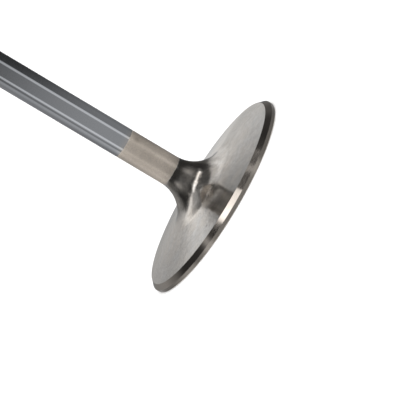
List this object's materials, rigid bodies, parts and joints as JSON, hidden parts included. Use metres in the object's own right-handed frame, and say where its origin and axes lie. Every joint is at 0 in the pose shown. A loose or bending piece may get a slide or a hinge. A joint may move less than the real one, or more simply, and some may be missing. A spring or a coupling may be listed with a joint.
{
  "type": "engine valve",
  "caption": "Engine poppet valve: thin round head with a bevelled seat, a broad neck curve and a long ground stem with a keeper groove near its tip.",
  "frame": {"origin": "centre of the flat combustion face", "axes": "+Z along the stem, from the combustion face to the stem tip; the valve is a solid of revolution, so X and Y are any two directions square to it"},
  "size_m": [0.0558, 0.0558, 0.1288],
  "materials": {
    "valve_steel": "turned and ground steel, satin head, bright hard-plated stem"
  },
  "bodies": {
    "root": {"valve": "valve_steel"}
  },
  "joints": []
}
